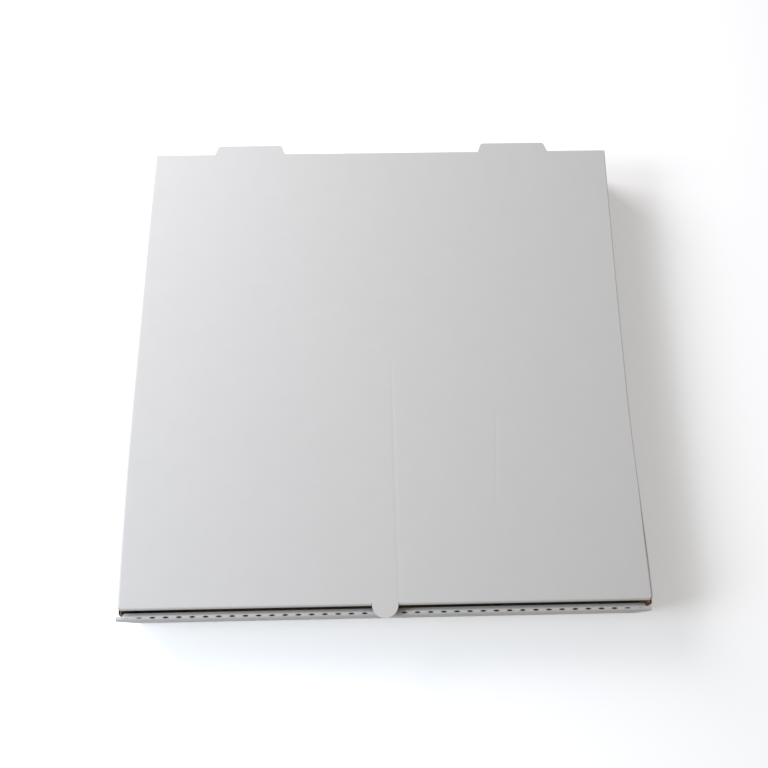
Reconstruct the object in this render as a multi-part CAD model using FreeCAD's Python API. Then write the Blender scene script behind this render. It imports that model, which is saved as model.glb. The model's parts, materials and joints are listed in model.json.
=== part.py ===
import FreeCAD, Part
import math
import os

# A pizza box folded from one die-cut sheet of fluted board. The tray has a rolled-over front
# wall and corner flaps. The lid hangs on the crease along the top of the back wall.
# Millimetres. X runs across the box, Y from the front to the hinge, Z up.
# The origin is the middle of the tray's underside.

V = FreeCAD.Vector

# Overall sizes
WIDTH = 322.0            # over the front wall
DEPTH = 320.0            # from the outer face of the front wall to that of the back wall
HEIGHT = 40.0            # from the table to the top of the closed lid

# Board
BOARD = 1.5              # thickness of the fluted board
FOLD_IN = 0.5            # inside radius of a crease
FOLD_OUT = FOLD_IN + BOARD
PLY_GAP = 0.15           # air between two plies lying face to face
PLAY = 0.3               # air between the lid and the tray
CUT = 0.4                # air along a cut line that has opened
PAST = 1.0               # how far a cutting shape runs past the board

# Tray
SIDE_FACE = WIDTH / 2 - 0.3          # outer face of a side wall
SIDE_TOP = HEIGHT - 3.5
WALL_TOP = HEIGHT - BOARD - PLAY     # top of the front and back walls
STUB = 3.0                           # height at which a side wall leaves its crease
FLAP_FACE = DEPTH / 2 - BOARD - PLY_GAP      # outer face of a corner flap
INNER_FACE = -DEPTH / 2 + 3 * BOARD + 2 * PLY_GAP    # food side of the rolled-over ply
INNER_HALF = SIDE_FACE - BOARD - PLAY        # half width of the rolled-over ply
BACK_HALF = SIDE_FACE - 0.4                  # half width of the back wall
STRIP_STEP = 2.8                     # depth of the strip that keeps the full width
FRONT_FLAP = 58.0                    # length of a front corner flap
REAR_FLAP = 33.0                     # length of a rear corner flap
FLAP_TAPER = 5.0
LOCK_X = 84.0                        # middle of a lock tab
LOCK_WIDTH = 34.0

# Perforated crease along the top of the front wall
SLITS = 40
SLIT_PITCH = 8.0
SLIT_START = 4.4                     # from the left end of the wall to the middle of the first slit
SLIT_LENGTH = 4.0
SLIT_OPEN = 1.0
SLIT_ANGLE = 40.0                    # from straight up, towards the front

# Hinge crease and rear tabs
HINGE_Y = DEPTH / 2 - BOARD / 2
HINGE_Z = HEIGHT - BOARD / 2
TAB_X = 94.3                         # middle of a rear tab
TAB_ROOT = 52.0
TAB_TIP = 43.5
TAB_REACH = 6.0                      # past the outer face of the back wall
TAB_ROUND = 2.5

# Lid
LID_HALF = WIDTH / 2 - 1.0           # over the beads of the side creases
BEAD = 1.4                           # radius of the bead that a side crease raises
LID_FRONT = INNER_FACE + 0.6
CORNER_CLIP = 4.0
LID_FLAP_FACE = SIDE_FACE - BOARD - PLAY     # outer face of a lid side flap
LID_FLAP_DROP = 26.0
LID_FLAP_FRONT = -144.0
LID_FLAP_REAR = 150.0
LID_FLAP_SLANT = 10.0
FLAP_ROUND = 8.0
TUCK_LENGTH = 32.0                   # front flap of the lid
TUCK_LEAN = 7.0                      # degrees it leans in, so that it clears the front wall
TUCK_SLANT = 9.0
THUMB_RADIUS = 8.0
THUMB_Y = LID_FRONT + BOARD / 2      # centre of the half-round tab


def block(x, y, z):
    """A box between the two values given for each axis."""
    low = V(min(x), min(y), min(z))
    size = V(max(x), max(y), max(z)) - low
    return Part.makeBox(size.x, size.y, size.z, low)


def both_sides(shape):
    """The shape and its mirror image across the middle of the box."""
    return [shape, shape.mirror(V(0, 0, 0), V(1, 0, 0))]


def rounded_wire(corners, radii, closed=False):
    """Straight runs through the corners, with a tangent arc of the given radius at each."""
    count = len(corners)
    stops = []
    for i, corner in enumerate(corners):
        radius = radii[i]
        if radius == 0:
            stops.append((corner, corner, corner))
            continue
        back = (corners[i - 1] - corner).normalize()
        ahead = (corners[(i + 1) % count] - corner).normalize()
        half = back.getAngle(ahead) / 2
        reach = radius / math.tan(half)
        middle = (back + ahead).normalize() * (radius / math.sin(half) - radius)
        stops.append((corner + back * reach, corner + middle, corner + ahead * reach))
    edges = []
    for i, (start, middle, end) in enumerate(stops):
        if radii[i]:
            edges.append(Part.Arc(start, middle, end).toShape())
        if i + 1 < count or closed:
            following = stops[(i + 1) % count][0]
            if end.distanceToPoint(following) > 1e-6:
                edges.append(Part.LineSegment(end, following).toShape())
    return Part.Wire(edges)


def rounded_face(corners, radii):
    """A flat face with straight sides and rounded corners."""
    return Part.Face(rounded_wire(corners, radii, closed=True))


def board_section(corners, normal):
    """Section of board whose outer face runs through the corners, creased at each bend.

    The board lies to the right of the run, seen against the normal.
    """
    runs = [(b - a).normalize() for a, b in zip(corners, corners[1:])]
    sides = [run.cross(normal) * BOARD for run in runs]
    inner = [corners[0] + sides[0]]
    for i in range(1, len(runs)):
        spread = sides[i - 1] + sides[i]
        inner.append(corners[i] + spread * (2 * BOARD**2 / spread.dot(spread)))
    inner.append(corners[-1] + sides[-1])
    folds = len(corners) - 2
    radii = [0] + [FOLD_OUT] * folds + [0, 0] + [FOLD_IN] * folds + [0]
    return rounded_face(corners + inner[::-1], radii)


def tab_outline():
    """Outline of a rear tab in the lid's own plane, rooted on the hinge line and rounded at the tip."""
    reach = TAB_REACH + BOARD / 2
    corners = [V(-TAB_ROOT / 2, 0, 0), V(-TAB_TIP / 2, reach, 0), V(TAB_TIP / 2, reach, 0),
               V(TAB_ROOT / 2, 0, 0)]
    return rounded_face(corners, [0, TAB_ROUND, TAB_ROUND, 0])


def floor_and_end_walls():
    """Back wall, floor, front wall, top strip and inner ply: one run of board."""
    run = [
        V(0, DEPTH / 2, WALL_TOP),
        V(0, DEPTH / 2, 0),
        V(0, -DEPTH / 2, 0),
        V(0, -DEPTH / 2, WALL_TOP),
        V(0, INNER_FACE, WALL_TOP),
        V(0, INNER_FACE, BOARD + PLY_GAP),
    ]
    section = board_section(run, V(1, 0, 0))
    section.translate(V(-WIDTH / 2, 0, 0))
    sheet = section.extrude(V(WIDTH, 0, 0))
    crease_end = block((SIDE_FACE - FOLD_OUT, WIDTH), (-DEPTH, DEPTH), (-PAST, FOLD_OUT))
    inner_end = block((INNER_HALF, WIDTH), (-DEPTH / 2 + STRIP_STEP, 0), (FOLD_OUT, HEIGHT))
    back_end = block((BACK_HALF, WIDTH), (0, DEPTH), (FOLD_OUT, HEIGHT))
    trims = both_sides(crease_end) + both_sides(inner_end) + both_sides(back_end)
    return sheet.cut(Part.makeCompound(trims + vents() + lock_slots()))


def vents():
    """Notches left in the back wall where the two rear tabs of the lid were cut out."""
    outline = tab_outline().makeOffset2D(CUT)
    outline.rotate(V(0, 0, 0), V(1, 0, 0), -90)
    outline.translate(V(TAB_X, DEPTH / 2 + PAST, HINGE_Z))
    return both_sides(outline.extrude(V(0, -BOARD - 2 * PAST, 0)))


def lock_slots():
    """Slots in the floor for the lock tabs of the inner ply."""
    slot = block((LOCK_X - LOCK_WIDTH / 2 - PLAY, LOCK_X + LOCK_WIDTH / 2 + PLAY),
                 (INNER_FACE - BOARD - PLY_GAP, INNER_FACE + PLAY), (-PAST, BOARD + PLY_GAP / 2))
    return both_sides(slot)


def lock_tabs():
    """Tabs on the lower edge of the inner ply that hold it in the floor."""
    tab = block((LOCK_X - LOCK_WIDTH / 2, LOCK_X + LOCK_WIDTH / 2),
                (INNER_FACE - BOARD, INNER_FACE), (PLY_GAP, 2 * BOARD))
    return both_sides(tab)


def side_creases():
    """Floor from side to side with the two creases that turn up into the side walls."""
    run = [V(SIDE_FACE, 0, STUB), V(SIDE_FACE, 0, 0), V(-SIDE_FACE, 0, 0), V(-SIDE_FACE, 0, STUB)]
    section = board_section(run, V(0, -1, 0))
    length = 2 * (FLAP_FACE - FOLD_OUT)
    section.translate(V(0, -length / 2, 0))
    sheet = section.extrude(V(0, length, 0))
    return sheet.cut(Part.makeCompound(lock_slots()))


def side_walls():
    """Side walls, each with a corner flap turned in at the front and at the back."""
    run = [
        V(SIDE_FACE - FRONT_FLAP, -FLAP_FACE, STUB),
        V(SIDE_FACE, -FLAP_FACE, STUB),
        V(SIDE_FACE, FLAP_FACE, STUB),
        V(SIDE_FACE - REAR_FLAP, FLAP_FACE, STUB),
    ]
    section = board_section(run, V(0, 0, -1))
    wall = section.extrude(V(0, 0, SIDE_TOP - STUB))
    return both_sides(wall.cut(flap_taper(-1, FRONT_FLAP)).cut(flap_taper(1, REAR_FLAP)))


def flap_taper(end, length):
    """Wedges that slope the lower and upper edges of a corner flap towards its tip."""
    root = SIDE_FACE - FOLD_OUT
    tip = SIDE_FACE - length - PAST
    y = end * FLAP_FACE - (BOARD + PAST if end > 0 else PAST)
    wedges = []
    for edge, way in ((STUB, 1), (SIDE_TOP, -1)):
        corners = [V(root, y, edge), V(tip, y, edge + way * FLAP_TAPER), V(tip, y, edge - way * PAST),
                   V(root, y, edge - way * PAST)]
        wedges.append(rounded_face(corners, [0] * 4).extrude(V(0, BOARD + 2 * PAST, 0)))
    return Part.makeCompound(wedges)


def perforation():
    """Cuts of the perforated crease, opened to lens shapes by the fold."""
    corner = V(0, -DEPTH / 2 + FOLD_OUT, WALL_TOP - FOLD_OUT)
    angle = math.radians(SLIT_ANGLE)
    outward = V(0, -math.sin(angle), math.cos(angle))
    across = V(0, math.cos(angle), math.sin(angle)) * (SLIT_OPEN / 2)
    start = corner + outward * (FOLD_IN / 2)
    ends = [start - V(SLIT_LENGTH / 2, 0, 0), start + V(SLIT_LENGTH / 2, 0, 0)]
    front = Part.Arc(ends[0], start - across, ends[1]).toShape()
    back = Part.Arc(ends[1], start + across, ends[0]).toShape()
    slit = Part.Face(Part.Wire([front, back])).extrude(outward * (FOLD_OUT + PAST))
    slits = []
    for i in range(SLITS):
        copy = slit.copy()
        copy.translate(V(-WIDTH / 2 + SLIT_START + i * SLIT_PITCH, 0, 0))
        slits.append(copy)
    return Part.makeCompound(slits)


def base_tray():
    """The tray as one folded sheet."""
    sheets = [side_creases()] + side_walls() + lock_tabs()
    tray = floor_and_end_walls().fuse(sheets).removeSplitter()
    return tray.cut(perforation())


def lid_panel():
    """Top panel with its rear tabs, its thumb tab and the rounded edge at the crease."""
    bottom = HEIGHT - BOARD
    inner = LID_HALF - BEAD
    front = LID_FRONT + FOLD_OUT
    clip = LID_FRONT + CORNER_CLIP
    shoulder = HINGE_Y - FOLD_OUT
    right = [V(inner, clip, bottom), V(inner, shoulder, bottom), V(LID_HALF, shoulder, bottom),
             V(LID_HALF, HINGE_Y, bottom)]
    left = [V(-p.x, p.y, p.z) for p in right[::-1]]
    nose = LID_HALF - CORNER_CLIP
    corners = [V(-nose, front, bottom), V(nose, front, bottom)] + right + left
    panel = rounded_face(corners, [0] * len(corners)).extrude(V(0, 0, BOARD))
    edge = Part.makeCylinder(BOARD / 2, 2 * LID_HALF, V(-LID_HALF, HINGE_Y, HINGE_Z), V(1, 0, 0))
    tab = tab_outline()
    tab.translate(V(TAB_X, HINGE_Y, bottom))
    tabs = both_sides(tab.extrude(V(0, 0, BOARD)))
    return panel.fuse([edge] + tabs)


def thumb_tab():
    """Half-round tab that stays flat with the panel and lifts the lid."""
    bottom = HEIGHT - BOARD
    disc = Part.makeCylinder(THUMB_RADIUS, BOARD, V(0, THUMB_Y, bottom))
    root = (THUMB_Y, LID_FRONT + FOLD_OUT)
    bridge = block((-THUMB_RADIUS, THUMB_RADIUS), root, (bottom, HEIGHT))
    return disc.fuse(bridge)


def tuck_flap():
    """Front flap that tucks in behind the rolled-over front wall."""
    lean = math.radians(TUCK_LEAN)
    tip = V(0, LID_FRONT + TUCK_LENGTH * math.sin(lean), HEIGHT - TUCK_LENGTH * math.cos(lean))
    run = [V(0, LID_FRONT + 2 * FOLD_OUT, HEIGHT), V(0, LID_FRONT, HEIGHT), tip]
    section = board_section(run, V(-1, 0, 0))
    half = LID_HALF - CORNER_CLIP
    section.translate(V(-half, 0, 0))
    flap = section.extrude(V(2 * half, 0, 0))
    side = [V(half, 0, HEIGHT + PAST), V(half, 0, HEIGHT - FOLD_OUT), V(half - TUCK_SLANT, 0, tip.z - PAST)]
    corners = side + [V(-p.x, p.y, p.z) for p in side[::-1]]
    outline = rounded_face(corners, [0, 0, FLAP_ROUND, FLAP_ROUND, 0, 0])
    outline.translate(V(0, LID_FRONT - PAST, 0))
    depth = tip.y + 2 * BOARD - LID_FRONT + PAST
    notch = Part.makeCylinder(THUMB_RADIUS + CUT, depth, V(0, LID_FRONT - PAST, HEIGHT), V(0, 1, 0))
    return flap.common(outline.extrude(V(0, depth, 0))).cut(notch)


def lid_side():
    """Bead that the right side crease raises, with the side flap below it."""
    start = LID_FRONT + CORNER_CLIP
    length = HINGE_Y - FOLD_OUT - start
    top = HEIGHT - BEAD
    bead = Part.makeCylinder(BEAD, length, V(LID_HALF - BEAD, start, top), V(0, 1, 0))
    x = LID_FLAP_FACE - BOARD
    low = HEIGHT - BOARD - LID_FLAP_DROP
    corners = [V(x, LID_FLAP_FRONT, top), V(x, LID_FLAP_FRONT + LID_FLAP_SLANT, low),
               V(x, LID_FLAP_REAR - 2 * LID_FLAP_SLANT, low), V(x, LID_FLAP_REAR, top)]
    flap = rounded_face(corners, [0, FLAP_ROUND, FLAP_ROUND, 0]).extrude(V(BOARD, 0, 0))
    return bead.fuse(flap)


def lid():
    """The lid as one folded sheet."""
    pieces = [thumb_tab(), tuck_flap()] + both_sides(lid_side())
    return lid_panel().fuse(pieces).removeSplitter()


def save(name, shape):
    """Write one node, and report its solids, volume and validity."""
    solids = shape.Solids
    solid = solids[0] if len(solids) == 1 else shape
    solid.exportStep(os.path.join("parts", name + ".step"))
    print(name, "solids", len(solids), "volume", round(solid.Volume), "valid", solid.isValid())


os.makedirs("parts", exist_ok=True)
save("base_tray", base_tray())
save("lid", lid())
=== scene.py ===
import json
import math

import bmesh
import bpy
from mathutils import Matrix, Vector


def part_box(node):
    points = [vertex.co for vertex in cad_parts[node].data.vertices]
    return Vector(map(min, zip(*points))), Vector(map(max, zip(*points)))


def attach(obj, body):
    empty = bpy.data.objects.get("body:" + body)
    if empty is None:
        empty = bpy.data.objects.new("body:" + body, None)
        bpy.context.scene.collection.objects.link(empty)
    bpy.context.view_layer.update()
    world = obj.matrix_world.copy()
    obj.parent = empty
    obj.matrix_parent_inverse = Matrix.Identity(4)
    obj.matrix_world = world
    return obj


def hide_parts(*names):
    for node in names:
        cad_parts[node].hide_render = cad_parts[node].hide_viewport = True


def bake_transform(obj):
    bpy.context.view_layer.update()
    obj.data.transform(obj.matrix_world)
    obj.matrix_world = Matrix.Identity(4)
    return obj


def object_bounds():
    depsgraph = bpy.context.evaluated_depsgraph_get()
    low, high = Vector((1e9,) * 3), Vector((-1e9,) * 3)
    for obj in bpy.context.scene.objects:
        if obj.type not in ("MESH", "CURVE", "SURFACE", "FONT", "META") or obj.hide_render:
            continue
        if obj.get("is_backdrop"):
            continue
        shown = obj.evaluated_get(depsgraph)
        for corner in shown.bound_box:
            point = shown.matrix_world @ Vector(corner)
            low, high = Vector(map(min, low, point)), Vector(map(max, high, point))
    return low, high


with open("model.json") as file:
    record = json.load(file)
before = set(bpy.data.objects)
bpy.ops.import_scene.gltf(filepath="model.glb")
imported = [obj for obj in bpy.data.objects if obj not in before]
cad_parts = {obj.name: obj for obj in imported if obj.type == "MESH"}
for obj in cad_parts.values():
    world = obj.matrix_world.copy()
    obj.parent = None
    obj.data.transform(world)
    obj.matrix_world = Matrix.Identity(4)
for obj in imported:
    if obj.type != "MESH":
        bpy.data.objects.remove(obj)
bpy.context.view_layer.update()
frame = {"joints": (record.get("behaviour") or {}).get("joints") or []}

# ---------------------------------------------------------------------------------------------
# The tray: floor, side walls with corner flaps, back wall, and a front wall rolled over on
# itself along a perforated crease. One run of fine fluted board, white outside and brown
# inside, die-cut, creased and locked into the floor by two tabs, with no glue.
mm = 0.001
tray_low, tray_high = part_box("base_tray")
lid_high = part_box("lid")[1]
hinge = Vector(frame["joints"][0]["pos_m"])
board = 2 * (lid_high.z - hinge.z)           # thickness of the fluted board
bend = board + 0.5 * mm                      # outside radius of a crease
play = 0.3 * mm                              # room beside a flap or a tab
ply_gap = 0.15 * mm                          # air between two layers of board
half = tray_high.x                           # half width of the front wall
front, back = tray_low.y - 0.7 * mm, tray_high.y            # outer faces of the end walls
side_face = half - 0.3 * mm                  # outer face of a side wall
side_turn = side_face - bend                 # where the floor starts to turn up
side_foot = 3 * mm                           # the corner flaps start this high
side_top = lid_high.z - 3.5 * mm
seam_z = tray_high.z - 2.2 * mm              # the hinge crease takes over from the back wall here
back_half = side_face - 0.4 * mm             # half width of the back wall
flap_face = back - board - ply_gap           # outer face of a corner flap
flap_turn = flap_face - bend
front_flap, rear_flap, flap_taper = 58 * mm, 33 * mm, 4.8 * mm
inner_face = front + 3 * board + 2 * ply_gap                # food side of the rolled-over ply
inner_half = side_face - board - play        # its half width, between the side walls
inner_foot = board + ply_gap                 # its lower edge, just above the floor
strip_step = front + 2.8 * mm                # the run narrows to that ply behind here
front_top = lid_high.z - 4.6 * mm            # top of the roll, a little lower than the lid
roll_bend = board + 0.3 * mm
roll_past = 62                               # degrees that it turns down past its top
lip_turn = 22                                # degrees of the roll on each side of the slits
corner_top = front_top - board - play        # the side walls slope down to go under its ends
corner_run = 20 * mm                         # over this length
lock_x, lock_half = 84 * mm, 17 * mm         # the two tabs locked into slots in the floor
slot_front, slot_back = inner_face - board - ply_gap, inner_face + play
slits, slit_pitch, slit_start, slit_fade = 40, 8 * mm, 4.4 * mm, 22 * mm
slit_half, slit_open, slit_turn = 2 * mm, 0.6 * mm, 92      # the last in degrees up the roll
tab_x, tab_root, tab_tip, tab_round = 93.7 * mm, 24.8 * mm, 22.4 * mm, 2.2 * mm
tab_reach = lid_high.y - hinge.y             # the lid's rear tabs stand out this far
tab_cut = 0.4 * mm                           # a notch is this much larger than its tab
rows = 16                                    # lengths in which a side wall bows
left_bulge, right_bulge = 1.8 * mm, -0.9 * mm
left_spread, left_start, left_run = 1.2 * mm, 110 * mm, 200 * mm        # towards the front
right_spread, right_start, right_run = 2.6 * mm, -20 * mm, 140 * mm
left_lean, right_lean = 1.68 * mm, 1.04 * mm                # of the ends of the front wall
liner = 0.22 * mm                            # thickness of a liner
groove = 1.4 * mm                            # how far the fluting stays back from a cut edge
flute, web = 3.3 * mm, 0.16 * mm             # pitch of the fluting, thickness of its paper
wave_steps = 9                               # straight lengths in one wave of it
WHITE, BROWN, FLUTING_PAINTED_SHADE = 0, 1, 2              # places in the list of finishes below


def node(tree, kind, inputs, **settings):
    """Add a shader node, with each input set to a value or joined to another node's output."""
    made = tree.nodes.new(kind)
    for name, value in settings.items():
        setattr(made, name, value)
    for name, value in inputs.items():
        if isinstance(value, bpy.types.NodeSocket):
            tree.links.new(value, made.inputs[name])
        else:
            made.inputs[name].default_value = value
    return made


def paper(name, dark, pale, fibre, rough):
    """Paper with a cloudy tone, fine fibres, and the faint waves of the fluting under it."""
    material = bpy.data.materials.new(name)
    material.use_nodes = True
    tree = material.node_tree
    place = node(tree, "ShaderNodeTexCoord", {}).outputs["Object"]
    along = node(tree, "ShaderNodeMapping", {"Vector": place, "Scale": (1, 0.35, 1)}).outputs[0]
    fibres = node(tree, "ShaderNodeTexNoise", {"Vector": along, "Scale": 1400, "Detail": 5})
    fibres = fibres.outputs[0]
    clouds = node(tree, "ShaderNodeTexNoise", {"Vector": place, "Scale": 90, "Detail": 3})
    clouds = clouds.outputs[0]
    tone = node(tree, "ShaderNodeMath", {0: fibres, 1: fibre, 2: clouds}, operation="MULTIPLY_ADD")
    ramp = node(tree, "ShaderNodeValToRGB", {"Fac": tone.outputs[0]})
    ramp.color_ramp.elements[0].position = 0.3 + 0.3 * fibre
    ramp.color_ramp.elements[1].position = 0.7 + 0.7 * fibre
    ramp.color_ramp.elements[0].color = (*dark, 1)
    ramp.color_ramp.elements[1].color = (*pale, 1)
    across = node(tree, "ShaderNodeAttribute", {}, attribute_name="across").outputs["Fac"]
    turns = node(tree, "ShaderNodeMath", {0: across, 1: 2 * math.pi / flute}, operation="MULTIPLY")
    waves = node(tree, "ShaderNodeMath", {0: turns.outputs[0]}, operation="SINE")
    washboard = node(tree, "ShaderNodeMath", {0: waves.outputs[0], 1: 0.0015 * mm},
                     operation="MULTIPLY")
    height = node(tree, "ShaderNodeMath", {0: fibres, 1: 0.012 * mm, 2: washboard.outputs[0]},
                  operation="MULTIPLY_ADD")
    bump = node(tree, "ShaderNodeBump", {"Height": height.outputs[0], "Distance": 1.0})
    shader = tree.nodes["Principled BSDF"]
    tree.links.new(ramp.outputs["Color"], shader.inputs["Base Color"])
    tree.links.new(bump.outputs[0], shader.inputs["Normal"])
    shader.inputs["Roughness"].default_value = rough
    shader.inputs["Specular IOR Level"].default_value = 0.3
    return material


# The fluting's colour is painted far darker than the brown kraft it is made of: painted shade for
# the deep hollow between the liners at cut edges and in the opened slits.
finishes = [paper("white_liner", (0.752, 0.752, 0.757), (0.768, 0.768, 0.773), 0.5, 0.55),
            paper("brown_liner", (0.34, 0.21, 0.115), (0.47, 0.31, 0.185), 1.5, 0.75),
            paper("fluting", (0.09, 0.056, 0.035), (0.17, 0.105, 0.06), 1.5, 0.85)]


def ends_of(edges):
    """The vertices of these edges, each once."""
    return list(dict.fromkeys(v for e in edges for v in e.verts))


def run_on(bm, edges, step):
    """Carry the sheet straight on from these edges, and give the new far edges."""
    made = bmesh.ops.extrude_edge_only(bm, edges=edges)["geom"]
    far = [g for g in made if isinstance(g, bmesh.types.BMVert)]
    bmesh.ops.translate(bm, verts=far, vec=step)
    return [g for g in made if isinstance(g, bmesh.types.BMEdge) and all(v in far for v in g.verts)]


def crease(bm, edges, centre, axis, degrees, steps=6):
    """Turn the sheet over a rounded crease from these edges, and give the new far edges."""
    made = bmesh.ops.spin(bm, geom=ends_of(edges) + edges, cent=centre, axis=axis, dvec=(0, 0, 0),
                          angle=math.radians(degrees), steps=steps)["geom_last"]
    return [g for g in made if isinstance(g, bmesh.types.BMEdge)]


def run_out(bm, edges, way, reach):
    """Carry the sheet on along a direction, at each point as far as its reach."""
    far = run_on(bm, edges, (0, 0, 0))
    for v in ends_of(far):
        v.co += Vector(way) * reach(v.co)
    return far


def cut(bm, point, normal, where=None):
    """Cut the sheet through along a plane, in the faces whose middle passes the test."""
    faces = [f for f in bm.faces if where is None or where(f.calc_center_median())]
    geom = list(dict.fromkeys(g for f in faces for g in (*f.verts, *f.edges, f)))
    bmesh.ops.bisect_plane(bm, geom=geom, dist=1e-7, plane_co=point, plane_no=normal)


def cut_away(bm, where):
    """Take out the faces whose middle passes the test."""
    waste = [f for f in bm.faces if where(f.calc_center_median())]
    bmesh.ops.delete(bm, geom=waste, context="FACES")


def edges_in(bm, where):
    """The edges with both ends passing the test."""
    return [e for e in bm.edges if all(where(v.co) for v in e.verts)]


def near(a, b):
    return abs(a - b) < 1e-6


def eased(t):
    """A soft step from 0 to 1."""
    t = max(0.0, min(1.0, t))
    return t * t * (3 - 2 * t)


def outline(u, root, tip, reach, radius):
    """Reach, at distance u from its middle, of a flap with slanted ends and rounded corners."""
    slant = math.atan2(reach, root - tip)
    start = tip - radius * math.tan(slant / 2)
    u = abs(u)
    if u <= start:
        return reach
    if u < start + radius * math.sin(slant):
        return reach - radius + math.sqrt(max(0.0, radius**2 - (u - start) ** 2))
    return max(0.0, reach * (root - u) / (root - tip)) if root > tip else 0.0


def outline_stops(root, tip, reach, radius, steps=5):
    """Distances from the middle at which such an outline needs a point."""
    slant = math.atan2(reach, root - tip)
    start = tip - radius * math.tan(slant / 2)
    round_stops = [start + radius * math.sin(slant * i / steps) for i in range(steps + 1)]
    return sorted(set(round_stops + [root]))


def thicken(bm, facing, across, closed):
    """Give the sheet its thickness, and show the liners and the fluting at its cut edges."""
    bmesh.ops.remove_doubles(bm, verts=bm.verts[:], dist=1e-6)
    bmesh.ops.recalc_face_normals(bm, faces=bm.faces[:])
    outermost = max(bm.faces, key=lambda f: f.calc_center_median().z * facing)
    if outermost.normal.z * facing < 0:
        bmesh.ops.reverse_faces(bm, faces=bm.faces[:])
    skin = set(bm.faces)
    inside = set(bmesh.ops.solidify(bm, geom=bm.faces[:], thickness=board)["geom"])
    bm.normal_update()
    rims = [f for f in bm.faces if f not in skin and f not in inside]
    for face in bm.faces:
        # Cut edges take the darkened fluting finish, painted shade of the hollow between the
        # liners; their liner lips get their own colours below.
        face.material_index = WHITE if face in skin else BROWN if face in inside else FLUTING_PAINTED_SHADE
    rims = [f for f in rims if not closed(f.calc_center_median())]
    medium = fluting(rims, skin, across)
    lips = bmesh.ops.inset_region(bm, faces=rims, thickness=liner, use_even_offset=False,
                                  use_boundary=True)["faces"]
    for face in lips:
        outer = any(other in skin for edge in face.edges for other in edge.link_faces)
        face.material_index = WHITE if outer else BROWN
    bmesh.ops.inset_region(bm, faces=rims, thickness=0.01 * mm, depth=-groove,
                           use_even_offset=False, use_boundary=True)
    bm.from_mesh(medium)
    bpy.data.meshes.remove(medium)


def fluting(rims, skin, across):
    """The wavy middle layer, as it shows in those cut edges that run across the flutes."""
    layer = bmesh.new()
    for rim in rims:
        outer = next((e for e in rim.edges if any(f in skin for f in e.link_faces)), None)
        if outer is None or outer.calc_length() < 0.05 * mm:
            continue
        a, b = (v.co for v in outer.verts)
        if abs(across(b) - across(a)) < 0.4 * outer.calc_length():
            continue
        side = next(e for e in outer.verts[0].link_edges if e in rim.edges[:] and e != outer)
        through = (side.other_vert(outer.verts[0]).co - a).normalized()
        steps = max(1, round(outer.calc_length() / (flute / wave_steps)))
        chain = []
        for i in range(steps + 1):
            point = a.lerp(b, i / steps)
            wave = math.sin(2 * math.pi * across(point) / flute) * (0.5 * board - liner - 0.5 * web)
            depth = 0.5 * (board - web) + wave
            chain.append(layer.verts.new(point + through * depth - rim.normal * 0.2 * mm))
        run = [layer.edges.new(pair) for pair in zip(chain, chain[1:])]
        ribbon = [e.link_faces[0] for e in run_on(layer, run, through * web)]
        made = bmesh.ops.extrude_face_region(layer, geom=ribbon)["geom"]
        far = [g for g in made if isinstance(g, bmesh.types.BMVert)]
        bmesh.ops.translate(layer, verts=far, vec=-rim.normal * (groove - 0.1 * mm))
    bmesh.ops.recalc_face_normals(layer, faces=layer.faces[:])
    for face in layer.faces:
        # The medium's ribbons get the same darkened finish, painted shade of the hollow flutes.
        face.material_index = FLUTING_PAINTED_SHADE
    medium = bpy.data.meshes.new("medium")
    layer.to_mesh(medium)
    layer.free()
    return medium


def finished(bm, name, body, across):
    """Make the shaped board an object of the scene that rides on its body."""
    mesh = bpy.data.meshes.new(name)
    bm.to_mesh(mesh)
    bm.free()
    mesh.shade_smooth()
    mesh.set_sharp_from_angle(angle=math.radians(35))
    flat_sheet = mesh.attributes.new("across", "FLOAT", "POINT")
    for v in mesh.vertices:
        flat_sheet.data[v.index].value = across(v.co)
    piece = bpy.data.objects.new(name, mesh)
    bpy.context.scene.collection.objects.link(piece)
    for finish in finishes:
        mesh.materials.append(finish)
    flat = piece.modifiers.new("flat panels", "WEIGHTED_NORMAL")
    flat.keep_sharp = True
    if body:
        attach(piece, body)
    return piece


tray = bmesh.new()
corners = [tray.verts.new((x, back, seam_z)) for x in (-half, half)]
edge = [tray.edges.new(corners)]
edge = run_on(tray, edge, (0, 0, bend - seam_z))
edge = crease(tray, edge, (0, back - bend, bend), (-1, 0, 0), 90)
edge = run_on(tray, edge, (0, front - back + 2 * bend, 0))
edge = crease(tray, edge, (0, front + bend, bend), (-1, 0, 0), 90)
edge = run_on(tray, edge, (0, 0, front_top - bend - roll_bend))
roll = (0, front + roll_bend, front_top - roll_bend)
edge = crease(tray, edge, roll, (-1, 0, 0), slit_turn - lip_turn, 3)
edge = crease(tray, edge, roll, (-1, 0, 0), 2 * lip_turn, 2)
edge = crease(tray, edge, roll, (-1, 0, 0), 90 + roll_past - slit_turn - lip_turn, 3)
past = math.radians(roll_past)
slope = (inner_face - roll[1] - roll_bend) / math.cos(past)
step = (0, slope * math.cos(past), -slope * math.sin(past))
edge = run_on(tray, edge, step)
turn = (0, roll[1] + step[1], roll[2] + step[2])
edge = crease(tray, edge, turn, (-1, 0, 0), 90 - roll_past, 3)
edge = run_on(tray, edge, (0, 0, inner_foot - turn[2]))

for x in (side_turn, inner_half, back_half, lock_x - lock_half, lock_x + lock_half):
    for side in (-1, 1):
        cut(tray, (side * x, 0, 0), (1, 0, 0))
for x in (lock_x - lock_half - play, lock_x + lock_half + play):
    for side in (-1, 1):
        cut(tray, (side * x, 0, 0), (1, 0, 0), lambda p: p.z < mm)
cut(tray, (0, strip_step, 0), (0, 1, 0), lambda p: p.z > bend)
for y in (-flap_turn, slot_front, slot_back, flap_turn):
    cut(tray, (0, y, 0), (0, 1, 0), lambda p: p.z < mm)
for i in range(1, rows):
    cut(tray, (0, flap_turn * (2 * i / rows - 1), 0), (0, 1, 0), lambda p: p.z < mm)


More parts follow.
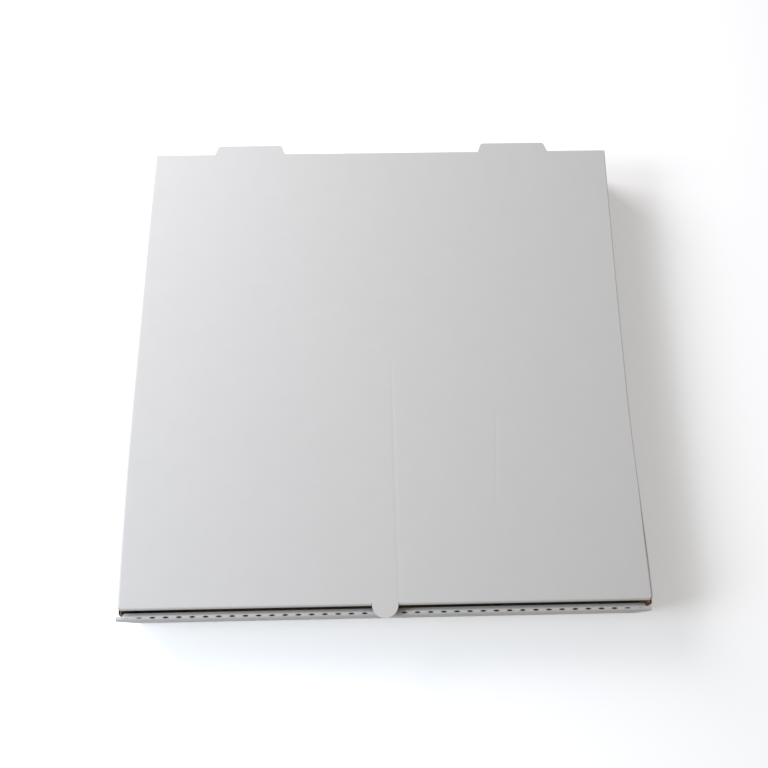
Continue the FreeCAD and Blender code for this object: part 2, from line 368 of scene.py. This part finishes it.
def outside_blank(p):
    """True where the full-width run has no board."""
    if p.z < bend:
        return abs(p.x) > side_turn
    if p.y > 0:
        return abs(p.x) > back_half
    return abs(p.x) > inner_half and p.y > strip_step


cut_away(tray, outside_blank)
cut_away(tray, lambda p: p.z < mm and abs(abs(p.x) - lock_x) < lock_half + play
         and slot_front < p.y < slot_back)
tabs = edges_in(tray, lambda p: near(p.z, inner_foot) and abs(abs(p.x) - lock_x) < lock_half + 1e-6)
run_on(tray, tabs, (0, 0, -board))

notch_root = tab_root + tab_cut
notch_tip = tab_tip + tab_cut
notch_reach = tab_reach + tab_cut
notch_round = tab_round + tab_cut
seam_half = notch_root - (notch_root - notch_tip) * (hinge.z - seam_z) / notch_reach
for stop in outline_stops(notch_root, notch_tip, notch_reach, notch_round):
    for middle in (-tab_x, tab_x):
        for u in (-min(stop, seam_half), min(stop, seam_half)):
            cut(tray, (middle + u, 0, 0), (1, 0, 0), lambda p: p.y > back - mm)
for v in tray.verts:
    u = abs(v.co.x) - tab_x
    if near(v.co.z, seam_z) and v.co.y > 0 and abs(u) < seam_half - 1e-6:
        v.co.z = hinge.z - outline(u, notch_root, notch_tip, notch_reach, notch_round)

for side in (-1, 1):
    edge = edges_in(tray, lambda p: near(p.x, side * side_turn) and p.z < 1e-6
                    and abs(p.y) < flap_turn + 1e-6)
    edge = crease(tray, edge, (side * side_turn, 0, bend), (0, -side, 0), 90)
    edge = run_on(tray, edge, (0, 0, side_foot - bend))
    edge = run_on(tray, edge, (0, 0, side_top - side_foot))
    for v in ends_of(edge):
        v.co.z -= (side_top - corner_top) * max(0.0, 1 - (v.co.y + flap_turn) / corner_run)
    for end, length in ((-1, front_flap), (1, rear_flap)):
        edge = edges_in(tray, lambda p: near(p.x, side * side_face) and near(p.y, end * flap_turn)
                        and p.z > side_foot - 1e-6)
        edge = crease(tray, edge, (side * side_turn, end * flap_turn, 0), (0, 0, side * end), 90)
        edge = run_on(tray, edge, (side * (bend - length), 0, 0))
        for v in edge[0].verts:
            v.co.z += flap_taper if near(v.co.z, side_foot) else -flap_taper

slit_row = (roll[1] - roll_bend * math.cos(math.radians(slit_turn)),
            roll[2] + roll_bend * math.sin(math.radians(slit_turn)))


def beside_slits(p):
    return math.dist((p.y, p.z), slit_row) < 0.5 * mm


def on_slit(middle):
    """A test for the points of the slit around this x."""
    return lambda p: (near(p.y, slit_row[0]) and near(p.z, slit_row[1])
                      and abs(p.x - middle) < slit_half + 1e-6)


tangent = Vector((0, math.sin(math.radians(slit_turn)), math.cos(math.radians(slit_turn))))
for i in range(slits):
    middle = slit_start + i * slit_pitch - half
    for end in (-slit_half, slit_half):
        cut(tray, (middle + end, 0, 0), (1, 0, 0), beside_slits)
    bmesh.ops.subdivide_edges(tray, edges=edges_in(tray, on_slit(middle)), cuts=3)
    lips = bmesh.ops.split_edges(tray, edges=edges_in(tray, on_slit(middle)))["edges"]
    for v in ends_of(lips):
        if abs(v.co.x - middle) < slit_half - 1e-6:
            way = 1 if (v.link_faces[0].calc_center_median() - v.co).dot(tangent) > 0 else -1
            opening = slit_open * eased((half - abs(middle)) / slit_fade)
            v.co += tangent * way * opening * (1 - ((v.co.x - middle) / slit_half) ** 2)


def side_bulge(p, share):
    """Move a point of a side wall or of the lid's edge with the bulge and spread of that side."""
    along = max(0.0, 1 - (p.y / flap_turn) ** 2)
    if p.x < 0:
        p.x -= share * (left_bulge * along + left_spread * eased((left_start - p.y) / left_run))
    else:
        p.x += share * (right_bulge * along + right_spread * eased((right_start - p.y) / right_run))


for v in tray.verts:
    if abs(v.co.x) > side_face + 0.1 * mm:
        v.co.x += (right_lean if v.co.x > 0 else -left_lean) * v.co.z / front_top
    elif abs(v.co.x) > inner_half + 0.1 * mm and abs(v.co.y) < flap_face + 0.1 * mm:
        out = min(1.0, (abs(v.co.x) - side_turn) / bend)
        turned = max(0.0, abs(v.co.y) - flap_turn) / bend
        side_bulge(v.co, v.co.z / side_top * out * (1 - turned))


def tray_across(p):
    """Distance across the flutes, measured over the flat sheet."""
    flap = flap_face - board - 0.05 * mm < abs(p.y) < flap_face + 0.05 * mm and p.z > bend
    if flap or (abs(p.x) > side_turn and abs(p.y) < flap_face):
        return max(abs(p.x), side_turn) * (not flap) + side_face * flap + p.z
    return p.x


def tray_closed(p):
    """True along the roll and the hinge crease, where no cut edge is open."""
    return math.dist((p.y, p.z), roll[1:]) < roll_bend + mm or (near(p.z, seam_z) and p.y > 0)


thicken(tray, -1, tray_across, tray_closed)
walls = finished(tray, "tray_walls", "base_tray", tray_across)
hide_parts("base_tray")

# ---------------------------------------------------------------------------------------------
# The lid: top panel, side flaps behind a raised bead, a tuck flap that goes down behind the
# rolled-over front wall, a half-round thumb tab, and two tabs at the back that leave the vents.
lid_half = half - mm
bead, bead_turn = 1.8 * mm, 130              # the raised edge along a side crease
sharper = 0.6                                # share of its roundness that the bead loses behind
left_sharp, right_sharp = (10 * mm, 110 * mm), (-120 * mm, 40 * mm)     # from where, over what
top = lid_high.z
lid_front = inner_face + mm
tuck_length, tuck_lean = 32 * mm, 7          # the flap slopes in by this many degrees
tuck_root, tuck_tip, tuck_round = lid_half - bead, lid_half - 12.7 * mm, 8 * mm
tuck_bend = board + 0.2 * mm
tuck_turn = lid_front + tuck_bend * math.tan(math.radians(90 + tuck_lean) / 2)
seam_y = back - 4.5 * mm                     # the hinge crease takes over from the lid here
thumb, thumb_cut = 8 * mm, 8.4 * mm          # radius of the thumb tab, and of the cut around it
thumb_edge = thumb_cut - 0.2 * mm            # the fold stops here beside it
thumb_y = lid_front + board / 2
flap_head = top - 3.8 * mm                   # where the bead ends and a side flap starts
flap_drop = flap_head - (hinge.z - board / 2 - 26 * mm)
flap_front, flap_back = -144 * mm, 150 * mm
flap_slant, flap_round = 10 * mm, 8 * mm
sag = 0.8 * mm                               # of the panel's middle
bow_start, bow_run = 90 * mm, 60 * mm        # from here out the panel follows the sides' bow
valley, valley_fade = 1.6 * mm, 25 * mm      # half width of a line pressed into the top, its fade
valleys = [(5.2 * mm, -0.022, 0.065 * mm, 10 * mm, -200 * mm),
           (74.5 * mm, 0.046, 0.055 * mm, -20 * mm, -110 * mm)]   # x, slant, depth, ends

lid = bmesh.new()
corners = [lid.verts.new((x, seam_y, top)) for x in (-lid_half + bead, lid_half - bead)]
run_on(lid, [lid.edges.new(corners)], (0, tuck_turn - seam_y, 0))

columns = [i * 20 * mm for i in range(-7, 8) if i]
for u in outline_stops(tab_root, tab_tip, tab_reach, tab_round):
    columns += [-tab_x - u, -tab_x + u, tab_x - u, tab_x + u]
for u in outline_stops(thumb, thumb, thumb, thumb, 8):
    columns += [-u, u]
columns += [-thumb_edge, thumb_edge]
for u in outline_stops(tuck_root, tuck_tip, tuck_length - tuck_bend, tuck_round):
    columns += [-u, u]
lines = [i * 10 * mm for i in range(-15, 16)]
for u in outline_stops(-flap_front, -flap_front - flap_slant, flap_drop, flap_round):
    lines.append(-u)
for u in outline_stops(flap_back, flap_back - 2 * flap_slant, flap_drop, flap_round):
    lines.append(u)
for x in sorted(set(round(x, 7) for x in columns)):
    cut(lid, (x, 0, 0), (1, 0, 0))
for y in sorted(set(round(y, 7) for y in lines)):
    cut(lid, (0, y, 0), (0, 1, 0))
for x, slant, deep, far, close in valleys:
    for step in (-valley, 0, valley):
        cut(lid, (x + step, 0, 0), (1, -slant, 0), lambda p: p.y < 20 * mm)

for side in (-1, 1):
    roots = edges_in(lid, lambda p: near(p.y, seam_y) and abs(p.x - side * tab_x) < tab_root + 1e-6)
    roots = run_on(lid, roots, (0, hinge.y - seam_y, 0))
    run_out(lid, roots, (0, 1, 0),
            lambda p: outline(p.x - side * tab_x, tab_root, tab_tip, tab_reach, tab_round))

fold = edges_in(lid, lambda p: near(p.y, tuck_turn) and abs(p.x) < tuck_root + 1e-6)
edge = crease(lid, fold, (0, tuck_turn, top - tuck_bend), (1, 0, 0), 90 + tuck_lean)
lean = math.radians(tuck_lean)
down = Vector((0, math.sin(lean), -math.cos(lean)))
drop = tuck_length - (tuck_turn - lid_front)
run_out(lid, edge, down, lambda p: outline(p.x, tuck_root, tuck_tip, drop, tuck_round))
cut_away(lid, lambda p: abs(p.x) < thumb_edge and p.y < tuck_turn
         and p.z > top - tuck_bend * (1 + math.sin(lean)) + 0.01 * mm)
for v in ends_of(edge):
    if abs(v.co.x) < thumb_edge - 0.01 * mm:
        low = top - math.sqrt(thumb_cut**2 - v.co.x**2)
        v.co += down * (v.co.z - low) / math.cos(lean)
root = edges_in(lid, lambda p: near(p.y, tuck_turn) and near(p.z, top) and abs(p.x) < thumb + 1e-6)
run_out(lid, root, (0, -1, 0),
        lambda p: tuck_turn - thumb_y + outline(p.x, thumb, thumb, thumb, thumb))


def lid_flap_reach(p):
    """How far a side flap hangs down from the bead, at this place along it."""
    if p.y < 0:
        return outline(p.y, -flap_front, -flap_front - flap_slant, flap_drop, flap_round)
    return outline(p.y, flap_back, flap_back - 2 * flap_slant, flap_drop, flap_round)


for side in (-1, 1):
    edge = edges_in(lid, lambda p: near(p.x, side * (lid_half - bead)) and near(p.z, top)
                    and p.y > tuck_turn - 1e-6)
    edge = crease(lid, edge, (side * (lid_half - bead), 0, top - bead), (0, side, 0), bead_turn, 8)
    last = edge[0].verts[0].co
    edge = run_on(lid, edge, (side * (side_face - board - play) - last.x, 0, flap_head - last.z))
    flap = [e for e in edge if all(flap_front - 1e-6 < v.co.y < flap_back + 1e-6 for v in e.verts)]
    run_out(lid, flap, (0, 0, -1), lid_flap_reach)


def dent(p):
    """How deep the top lies at this place, with its sag and its two pressed lines."""
    depth = sag * max(0.0, 1 - (p.x / lid_half) ** 2) * max(0.0, 1 - (p.y / seam_y) ** 2)
    for x, slant, deep, far, close in valleys:
        if p.y > tuck_turn + mm:
            flank = max(0.0, 1 - abs(p.x - slant * p.y - x) / valley)
            depth += (deep * flank * eased((far - p.y) / valley_fade)
                      * eased((p.y - close) / valley_fade))
    return depth


for v in lid.verts:
    if abs(v.co.x) > lid_half - bead - 1e-6 and v.co.z > top - bead:
        start, run = right_sharp if v.co.x > 0 else left_sharp
        round_part = 1 - sharper * eased((v.co.y - start) / run)
        v.co.x = math.copysign(lid_half - (lid_half - abs(v.co.x)) * round_part, v.co.x)
        v.co.z = top - (top - v.co.z) * round_part
    if near(v.co.z, top):
        v.co.z -= dent(v.co)
    side_bulge(v.co, eased((abs(v.co.x) - bow_start) / bow_run))


def lid_across(p):
    """Distance across the flutes, measured over the flat sheet."""
    return p.x if abs(p.x) < lid_half - bead - 2 * mm else math.copysign(lid_half + top - p.z, p.x)


def lid_closed(p):
    """Where the lid's edge shows no fluting: on the hinge crease and at the ends of the bead."""
    return near(p.y, seam_y) or (abs(p.x) > lid_half - bead and p.z > flap_head + 0.5 * mm)


thicken(lid, 1, lid_across, lid_closed)
panel = finished(lid, "lid_panel", "lid", lid_across)
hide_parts("lid")

# ---------------------------------------------------------------------------------------------
# The hinge crease: the same board, pressed to a fold line and bending between the back wall
# and the lid, in three lengths that the two vents part.
crease_ends = [(-lid_half, -tab_x - tab_root), (-tab_x + tab_root, tab_x - tab_root),
               (tab_x + tab_root, lid_half)]
for number, ends in enumerate(crease_ends):
    strip = bmesh.new()
    corners = [strip.verts.new((x, back, seam_z)) for x in ends]
    edge = [strip.edges.new(corners)]
    for i in range(2):
        edge = run_on(strip, edge, (0, 0, (top - bend - seam_z) / 2))
    edge = crease(strip, edge, (0, back - bend, top - bend), (1, 0, 0), 90, 10)
    for i in range(3):
        edge = run_on(strip, edge, (0, (seam_y - back + bend) / 3, 0))
    for v in strip.verts:
        beside = abs(v.co.x) - tab_x
        if abs(beside) < tab_root + mm and v.co.z < hinge.z:
            u = notch_root - (notch_root - notch_tip) * (hinge.z - v.co.z) / notch_reach
            v.co.x = math.copysign(tab_x + math.copysign(u, beside), v.co.x)
    thicken(strip, 1, lambda p: 0.0, lambda p: near(p.z, seam_z) or near(p.y, seam_y))
    piece = finished(strip, f"hinge_crease_{number + 1}", None, lambda p: p.x)
    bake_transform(piece)

# ---------------------------------------------------------------------------------------------
# Around the box: a pale matt table top, soft daylight from behind and from the left, and the
# camera. The table and the room are seen paler than they light the box.
for name in ("Cube", "Light", "Camera"):
    if name in bpy.data.objects:
        bpy.data.objects.remove(bpy.data.objects[name])
ground = bmesh.new()
bmesh.ops.create_grid(ground, x_segments=1, y_segments=1, size=6)
mesh = bpy.data.meshes.new("floor")
ground.to_mesh(mesh)
ground.free()
floor = bpy.data.objects.new("floor", mesh)
bpy.context.scene.collection.objects.link(floor)
pale = bpy.data.materials.new("pale_floor")
pale.use_nodes = True
tree = pale.node_tree
plain = node(tree, "ShaderNodeBsdfDiffuse", {"Color": (0.45, 0.45, 0.45, 1)}).outputs[0]
bright = node(tree, "ShaderNodeBsdfDiffuse", {"Color": (1.26, 1.29, 1.34, 1)}).outputs[0]
lift = node(tree, "ShaderNodeEmission", {"Color": (1, 1, 1, 1), "Strength": 0.2}).outputs[0]
white = node(tree, "ShaderNodeAddShader", {0: bright, 1: lift}).outputs[0]


def by_sight(tree, lit, shown):
    """Mix of two shaders: what lights the box, and what is seen straight, mirrored or through."""
    path = node(tree, "ShaderNodeLightPath", {}).outputs
    seen = node(tree, "ShaderNodeMath", {0: path["Is Camera Ray"], 1: path["Is Glossy Ray"]},
                operation="MAXIMUM")
    seen = node(tree, "ShaderNodeMath", {0: seen.outputs[0], 1: path["Is Transmission Ray"]},
                operation="MAXIMUM")
    return node(tree, "ShaderNodeMixShader", {0: seen.outputs[0], 1: lit, 2: shown}).outputs[0]


tree.links.new(by_sight(tree, plain, white), tree.nodes["Material Output"].inputs["Surface"])
mesh.materials.append(pale)
floor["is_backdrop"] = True

world = bpy.data.worlds.new("soft_light")
bpy.context.scene.world = world
world.use_nodes = True
tree = world.node_tree
glow = node(tree, "ShaderNodeBackground", {"Color": (1, 0.95, 0.87, 1), "Strength": 0.28})
haze = node(tree, "ShaderNodeBackground", {"Color": (1, 0.98, 0.95, 1), "Strength": 0.55})
air = by_sight(tree, glow.outputs[0], haze.outputs[0])
tree.links.new(air, tree.nodes["World Output"].inputs["Surface"])

lamp_size, lamp_rise = 0.6, 35               # metres square, degrees above the table


def window(name, turned, distance, tint, watts):
    """A soft square lamp that faces the box, turned about Z from the box's right side."""
    lamp = bpy.data.objects.new(name, bpy.data.lights.new(name, "AREA"))
    lamp.data.shape = "SQUARE"
    lamp.data.size = lamp_size
    lamp.data.color = tint
    lamp.data.energy = watts
    bpy.context.scene.collection.objects.link(lamp)
    around = Matrix.Rotation(math.radians(turned), 3, "Z")
    rise = Matrix.Rotation(math.radians(-lamp_rise), 3, "Y")
    lamp.location = around @ rise @ Vector((distance, 0, 0))
    lamp.rotation_mode = "QUATERNION"
    lamp.rotation_quaternion = (-lamp.location).to_track_quat("-Z", "Y")


window("back_window", 140, 1.0, (1, 0.96, 0.98), 5.8)
window("left_window", 190, 1.7, (1, 0.9, 0.8), 6.8)
window("left_sky", 190, 1.0, (0.59, 0.79, 1), 3.26)

camera_place = (0.0144, -0.1797, 0.5497)
pan, look_down, roll_over = -3.11, 72.83, 2.02              # degrees
camera = bpy.data.objects.new("camera", bpy.data.cameras.new("camera"))
camera.data.lens = 38.47
camera.data.shift_x, camera.data.shift_y = -0.0453, 0.0143
camera.data.clip_start = 0.01
aim = (Matrix.Rotation(math.radians(pan), 4, "Z")
       @ Matrix.Rotation(math.radians(90 - look_down), 4, "X")
       @ Matrix.Rotation(math.radians(roll_over), 4, "Z"))
camera.matrix_world = Matrix.Translation(camera_place) @ aim
bpy.context.scene.collection.objects.link(camera)
bpy.context.scene.camera = camera
bpy.context.scene.view_settings.view_transform = "Standard"

low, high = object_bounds()
